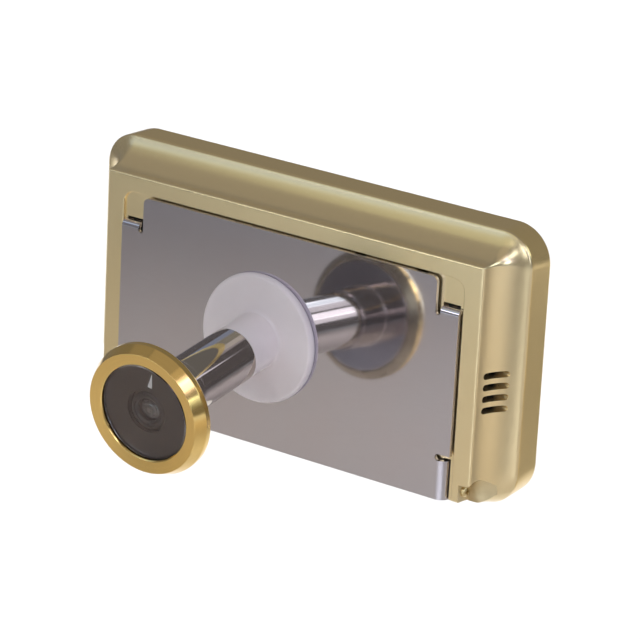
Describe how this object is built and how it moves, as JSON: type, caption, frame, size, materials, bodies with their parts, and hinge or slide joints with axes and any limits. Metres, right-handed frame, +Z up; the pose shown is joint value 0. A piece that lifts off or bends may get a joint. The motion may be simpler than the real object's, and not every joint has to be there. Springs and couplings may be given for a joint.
{
  "type": "peephole door camera",
  "caption": "Door viewer camera: a gold-rimmed lens on a chrome barrel passes through a door, clamped to a hooked steel plate that carries a flared monitor.",
  "frame": {"origin": "centre of the barrel hole on the door-side face of the mounting plate", "axes": "-Y out through the door towards the street, +Y into the room towards the screen, +Z up, +X to the right seen from the door"},
  "size_m": [0.1244, 0.0707, 0.068],
  "materials": {
    "champagne": "satin champagne metallic lacquer",
    "plate_steel": "polished with a faint brushed grain",
    "chrome": "mirror polished",
    "gold": "gold plated, fine turned finish",
    "white_rubber": "soft white, matt",
    "window_glass": "dark tinted",
    "lens_glass": "coated",
    "screen": "black cover glass",
    "black_plastic": "fine texture",
    "board": "solder mask",
    "cable": "satin jacket",
    "connector": "moulded",
    "lcd_frame": "pressed sheet",
    "tin": "tinned sheet",
    "battery_wrap": "foil wrap",
    "foam": "foam tape",
    "foam_black": "foam",
    "clear": "clear moulded",
    "key_metal": "champagne metallic, spun face",
    "screw_steel": "zinc plated"
  },
  "bodies": {
    "plate": {"mounting_plate": "plate_steel", "spacer_bush": "white_rubber"},
    "clamp": {"clamp_washer": "black_plastic"},
    "sleeve": {"clamp_sleeve": "chrome"},
    "barrel": {"barrel_tube": "chrome", "camera_ring": "gold", "camera_window": "window_glass", "head_baffle": "black_plastic", "lens_holder": "black_plastic", "lens": "lens_glass", "sensor_board": "board", "camera_cable": "cable"},
    "monitor": {"rear_housing": "champagne", "front_bezel": "champagne", "screen_glass": "screen", "lcd_panel": "lcd_frame", "lcd_tray": "black_plastic", "main_board": "board", "board_chips": "black_plastic", "shield_can": "tin", "camera_socket": "connector", "camera_plug": "connector", "usb_socket": "tin", "battery": "battery_wrap", "battery_pad": "foam", "speaker": "black_plastic", "speaker_gasket": "foam_black", "microphone": "tin", "key_switch": "tin", "status_led": "clear", "light_pipe": "clear", "housing_screws": "screw_steel"},
    "key": {"view_key": "key_metal"},
    "screw_right": {"fixing_screw_right": "screw_steel"},
    "screw_left": {"fixing_screw_left": "screw_steel"}
  },
  "joints": [
    {"name": "barrel_tilt", "type": "hinge", "parent": "plate", "child": "clamp", "pos_m": [0, 0, 0], "axis": [-0.9767, 0, -0.2147], "range_deg": [0, 7.2], "deforming": ["spacer_bush", "camera_cable"]},
    {"name": "sleeve_turn", "type": "hinge", "parent": "clamp", "child": "sleeve", "pos_m": [0, 0, 0], "axis": [-0.0269, 0.9921, 0.1224], "range_deg": [0, 5760]},
    {"name": "barrel_extend", "type": "slide", "parent": "clamp", "child": "barrel", "axis": [0.0269, -0.9921, -0.1224], "range_m": [0, 0.02], "deforming": ["camera_cable"]},
    {"name": "unit_lift", "type": "slide", "parent": "plate", "child": "monitor", "axis": [0, 0, 1], "range_m": [0, 0.003], "deforming": ["camera_cable"]},
    {"name": "key_press", "type": "slide", "parent": "monitor", "child": "key", "axis": [0, -1, 0], "range_m": [0, 0.0005], "stiffness_N_per_m": 300, "springref_m": -0.001},
    {"name": "screw_right_out", "type": "slide", "parent": "monitor", "child": "screw_right", "axis": [1, 0, 0], "range_m": [0, 0.005]},
    {"name": "screw_left_out", "type": "slide", "parent": "monitor", "child": "screw_left", "axis": [-1, 0, 0], "range_m": [0, 0.005]}
  ],
  "couplings": [
    {"joint": "sleeve_turn", "follows": "barrel_extend", "rad_per_m": 5026.5}
  ]
}
